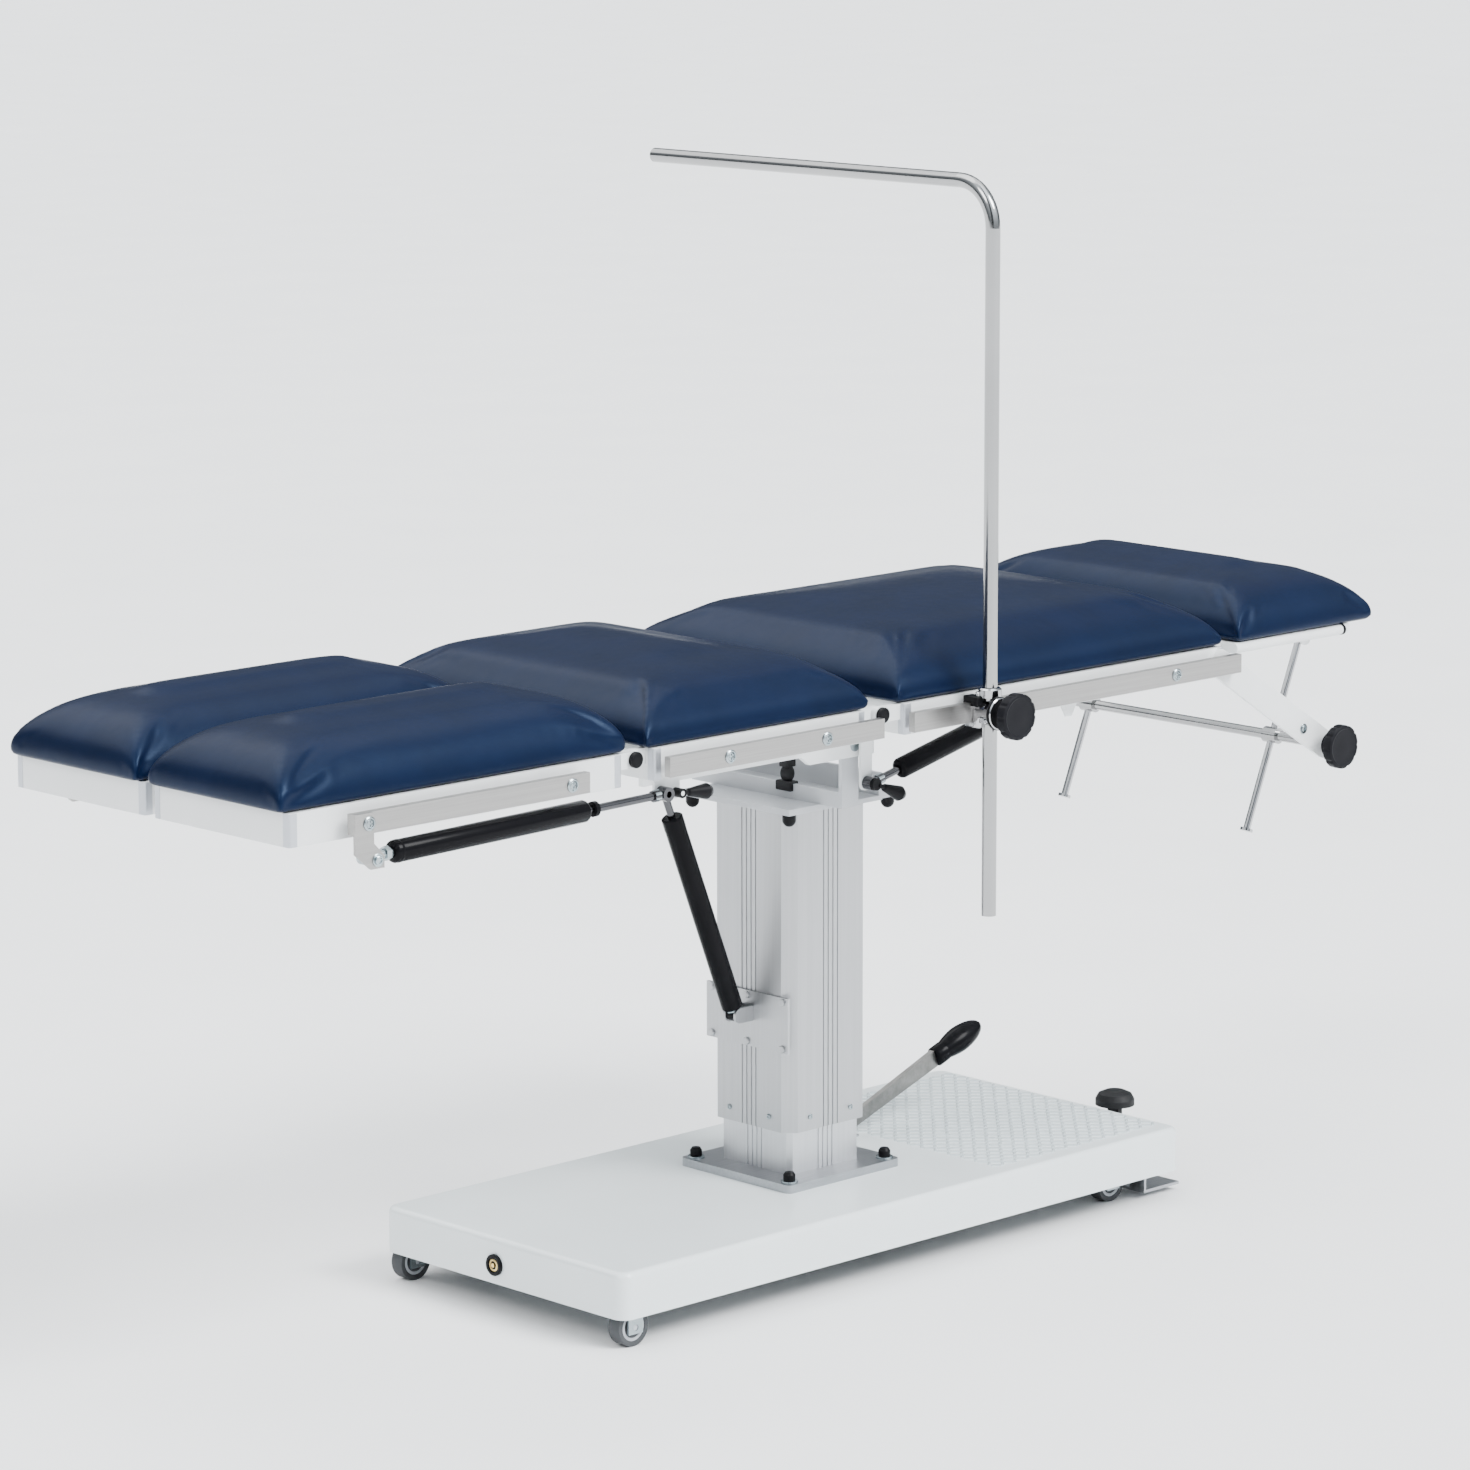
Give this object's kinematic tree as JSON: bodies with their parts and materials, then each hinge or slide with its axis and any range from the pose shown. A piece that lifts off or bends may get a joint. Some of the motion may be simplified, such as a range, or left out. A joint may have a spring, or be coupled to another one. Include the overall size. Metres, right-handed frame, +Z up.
{
  "type": "operating table",
  "caption": "Operating table: castor base, hydraulic column and a tilting top of split leg, seat, back and head sections with gas springs and a screen frame.",
  "frame": {"origin": "on the floor under the middle of the whole table's box", "axes": "+Z up, +X towards the head end, -Y towards the side with the screen frame"},
  "size_m": [1.94, 0.6725, 1.4195],
  "materials": {
    "base_paint": "satin",
    "white_paint": "satin",
    "dark_steel": "satin",
    "steel": "satin",
    "chrome": "polished",
    "aluminium": "satin",
    "black_plastic": "satin",
    "black_rubber": "matte",
    "cushion": "satin",
    "grey_tyre": "matte",
    "brass": "satin"
  },
  "bodies": {
    "base": {"base_tray": "base_paint", "chassis": "dark_steel", "front_castor_forks": "steel", "earth_socket": "brass", "column_foot_plate": "steel", "foot_plate_bolts": "black_plastic", "column_inner": "aluminium", "glide_strips": "black_plastic", "hydraulic_cylinder": "dark_steel", "pump_clevis": "steel"},
    "front_wheel_near": {"front_wheel_near": "grey_tyre"},
    "front_wheel_far": {"front_wheel_far": "grey_tyre"},
    "rear_fork_near": {"rear_castor_fork_near": "steel"},
    "rear_fork_far": {"rear_castor_fork_far": "steel"},
    "rear_wheel_near": {"rear_wheel_near": "grey_tyre"},
    "rear_wheel_far": {"rear_wheel_far": "grey_tyre"},
    "pump": {"pump_lever": "steel", "pump_grip": "black_rubber"},
    "brake": {"brake_pedal": "steel"},
    "release": {"release_pedal": "black_rubber"},
    "lift": {"column_outer": "aluminium", "hydraulic_ram": "chrome", "tilt_yoke": "white_paint", "tilt_spring_bracket": "white_paint"},
    "table": {"seat_pan": "white_paint", "hinge_pins": "dark_steel", "seat_rails": "steel", "seat_cushion": "cushion", "tilt_frame": "dark_steel", "tilt_pins": "steel"},
    "tilt_cylinder": {"tilt_cylinder": "dark_steel"},
    "tilt_rod": {"tilt_rod": "chrome"},
    "leg_near": {"leg_pan_near": "white_paint", "leg_rail_near": "steel", "leg_cushion_near": "cushion"},
    "leg_far": {"leg_pan_far": "white_paint", "leg_rail_far": "steel", "leg_cushion_far": "cushion"},
    "leg_cylinder_near": {"leg_cylinder_near": "dark_steel"},
    "leg_cylinder_far": {"leg_cylinder_far": "dark_steel"},
    "leg_rod_near": {"leg_rod_near": "chrome"},
    "leg_rod_far": {"leg_rod_far": "chrome"},
    "leg_release_near": {"leg_release_near": "black_plastic"},
    "leg_release_far": {"leg_release_far": "black_plastic"},
    "back": {"back_pan": "white_paint", "back_rails": "steel", "back_cushion": "cushion", "head_arms": "steel"},
    "back_cylinder": {"back_cylinder": "dark_steel"},
    "back_rod": {"back_rod": "chrome"},
    "back_release": {"back_release": "black_plastic"},
    "head": {"head_frame": "white_paint", "head_cushion": "cushion"},
    "head_cross": {"head_cross_tube": "chrome"},
    "head_rods": {"head_rods": "chrome"},
    "head_knob": {"head_knob": "black_plastic"},
    "screen_clamp": {"screen_clamp": "black_plastic"},
    "screen_ring": {"screen_ring": "black_plastic"},
    "screen_tube": {"screen_tube": "chrome"},
    "screen_knob": {"screen_knob": "black_plastic"}
  },
  "joints": [
    {"name": "front_wheel_near_roll", "type": "hinge", "parent": "base", "child": "front_wheel_near", "pos_m": [-0.386, -0.206, 0.025], "axis": [0, 1, 0], "continuous": true},
    {"name": "rear_fork_near_swivel", "type": "hinge", "parent": "base", "child": "rear_fork_near", "pos_m": [0.518, -0.166, 0.025], "axis": [0, 0, 1], "continuous": true},
    {"name": "rear_wheel_near_roll", "type": "hinge", "parent": "rear_fork_near", "child": "rear_wheel_near", "pos_m": [0.536, -0.166, 0.025], "axis": [0, 1, 0], "continuous": true},
    {"name": "front_wheel_far_roll", "type": "hinge", "parent": "base", "child": "front_wheel_far", "pos_m": [-0.386, 0.206, 0.025], "axis": [0, 1, 0], "continuous": true},
    {"name": "rear_fork_far_swivel", "type": "hinge", "parent": "base", "child": "rear_fork_far", "pos_m": [0.518, 0.166, 0.025], "axis": [0, 0, 1], "continuous": true},
    {"name": "rear_wheel_far_roll", "type": "hinge", "parent": "rear_fork_far", "child": "rear_wheel_far", "pos_m": [0.536, 0.166, 0.025], "axis": [0, 1, 0], "continuous": true},
    {"name": "pump_stroke", "type": "hinge", "parent": "base", "child": "pump", "pos_m": [0.248, 0.05, 0.114], "axis": [0, 1, 0], "range_deg": [0, 17], "stiffness_Nm_per_rad": 14, "springref_deg": -6.88},
    {"name": "brake_pedal_hinge", "type": "hinge", "parent": "base", "child": "brake", "pos_m": [0.57, -0.187, 0.056], "axis": [0, 1, 0], "range_deg": [-12, 0]},
    {"name": "release_pedal_hinge", "type": "hinge", "parent": "base", "child": "release", "pos_m": [0.597, -0.08, 0.056], "axis": [0, 1, 0], "range_deg": [0, 10], "stiffness_Nm_per_rad": 6, "springref_deg": -8.59},
    {"name": "column_lift", "type": "slide", "parent": "base", "child": "lift", "axis": [0, 0, 1], "range_m": [-0.02, 0.2]},
    {"name": "table_tilt", "type": "hinge", "parent": "lift", "child": "table", "pos_m": [0.069, 0, 0.688], "axis": [0, 1, 0], "range_deg": [-10, 15]},
    {"name": "tilt_cylinder_swing", "type": "hinge", "parent": "lift", "child": "tilt_cylinder", "pos_m": [-0.003, 0, 0.321], "axis": [0, 1, 0], "range_deg": [-2.41, 3.12]},
    {"name": "tilt_rod_travel", "type": "slide", "parent": "tilt_cylinder", "child": "tilt_rod", "axis": [-0.3714, 0, 0.9285], "range_m": [-0.0389, 0.0564]},
    {"name": "leg_near_drop", "type": "hinge", "parent": "table", "child": "leg_near", "pos_m": [-0.412, -0.133, 0.748], "axis": [0, 1, 0], "range_deg": [-75, 0]},
    {"name": "leg_cylinder_near_swing", "type": "hinge", "parent": "leg_near", "child": "leg_cylinder_near", "pos_m": [-0.845, -0.262, 0.693], "axis": [0, 1, 0], "range_deg": [-1, 2.55]},
    {"name": "leg_rod_near_travel", "type": "slide", "parent": "leg_cylinder_near", "child": "leg_rod_near", "axis": [0.9998, 0, 0.019], "range_m": [-0.0763, 0.003]},
    {"name": "leg_release_near_lever", "type": "hinge", "parent": "table", "child": "leg_release_near", "pos_m": [-0.348, -0.262, 0.7], "axis": [0, 1, 0], "range_deg": [0, 8], "stiffness_Nm_per_rad": 1, "springref_deg": -5.73},
    {"name": "leg_far_drop", "type": "hinge", "parent": "table", "child": "leg_far", "pos_m": [-0.412, 0.133, 0.748], "axis": [0, 1, 0], "range_deg": [-75, 0]},
    {"name": "leg_cylinder_far_swing", "type": "hinge", "parent": "leg_far", "child": "leg_cylinder_far", "pos_m": [-0.845, 0.262, 0.693], "axis": [0, 1, 0], "range_deg": [-1, 2.55]},
    {"name": "leg_rod_far_travel", "type": "slide", "parent": "leg_cylinder_far", "child": "leg_rod_far", "axis": [0.9998, 0, 0.019], "range_m": [-0.0763, 0.003]},
    {"name": "leg_release_far_lever", "type": "hinge", "parent": "table", "child": "leg_release_far", "pos_m": [-0.348, 0.262, 0.7], "axis": [0, 1, 0], "range_deg": [0, 8], "stiffness_Nm_per_rad": 1, "springref_deg": -5.73},
    {"name": "back_lift", "type": "hinge", "parent": "table", "child": "back", "pos_m": [0.0125, 0, 0.748], "axis": [0, 1, 0], "range_deg": [-60, 10]},
    {"name": "back_cylinder_swing", "type": "hinge", "parent": "back", "child": "back_cylinder", "pos_m": [0.398, -0.165, 0.712], "axis": [0, 1, 0], "range_deg": [-1.19, 2.14]},
    {"name": "back_rod_travel", "type": "slide", "parent": "back_cylinder", "child": "back_rod", "axis": [-0.9745, 0, -0.2244], "range_m": [-0.0245, 0.1322]},
    {"name": "back_release_lever", "type": "hinge", "parent": "back_rod", "child": "back_release", "pos_m": [0.081, -0.165, 0.639], "axis": [0, 1, 0], "range_deg": [0, 8], "stiffness_Nm_per_rad": 1, "springref_deg": -5.73},
    {"name": "head_tilt", "type": "hinge", "parent": "back", "child": "head", "pos_m": [0.676, 0, 0.7515], "axis": [0, 1, 0], "range_deg": [-30, 15]},
    {"name": "head_cross_turn", "type": "hinge", "parent": "back", "child": "head_cross", "pos_m": [0.864, 0, 0.6], "axis": [0, 1, 0], "range_deg": [-16.49, 8.74]},
    {"name": "head_rods_travel", "type": "slide", "parent": "head_cross", "child": "head_rods", "axis": [0.3811, 0, 0.9245], "range_m": [-0.0629, 0.1218]},
    {"name": "head_knob_turn", "type": "hinge", "parent": "head_cross", "child": "head_knob", "pos_m": [0.864, -0.271, 0.6], "axis": [0, 1, 0], "continuous": true},
    {"name": "screen_clamp_travel", "type": "slide", "parent": "back", "child": "screen_clamp", "axis": [1, 0, 0], "range_m": [-0.06, 0.3]},
    {"name": "screen_ring_turn", "type": "hinge", "parent": "screen_clamp", "child": "screen_ring", "pos_m": [0.1666, -0.293, 0.7375], "axis": [0, 0, 1], "range_deg": [-90, 90]},
    {"name": "screen_tube_travel", "type": "slide", "parent": "screen_ring", "child": "screen_tube", "axis": [0, 0, 1], "range_m": [-0.15, 0.25]},
    {"name": "screen_knob_turn", "type": "hinge", "parent": "screen_clamp", "child": "screen_knob", "pos_m": [0.1666, -0.323, 0.7375], "axis": [0, 1, 0], "continuous": true}
  ],
  "couplings": [
    {"joint": "tilt_cylinder_swing", "follows": "table_tilt", "ratio": 0.14141},
    {"joint": "tilt_rod_travel", "follows": "table_tilt", "m_per_rad": 0.20024},
    {"joint": "leg_cylinder_near_swing", "follows": "leg_near_drop", "ratio": -0.020701},
    {"joint": "leg_rod_near_travel", "follows": "leg_near_drop", "m_per_rad": 0.056003},
    {"joint": "leg_cylinder_far_swing", "follows": "leg_far_drop", "ratio": -0.020701},
    {"joint": "leg_rod_far_travel", "follows": "leg_far_drop", "m_per_rad": 0.056003},
    {"joint": "back_cylinder_swing", "follows": "back_lift", "ratio": -0.019079},
    {"joint": "back_rod_travel", "follows": "back_lift", "m_per_rad": -0.12333},
    {"joint": "head_cross_turn", "follows": "head_tilt", "ratio": 0.51631},
    {"joint": "head_rods_travel", "follows": "head_tilt", "m_per_rad": -0.22497}
  ]
}
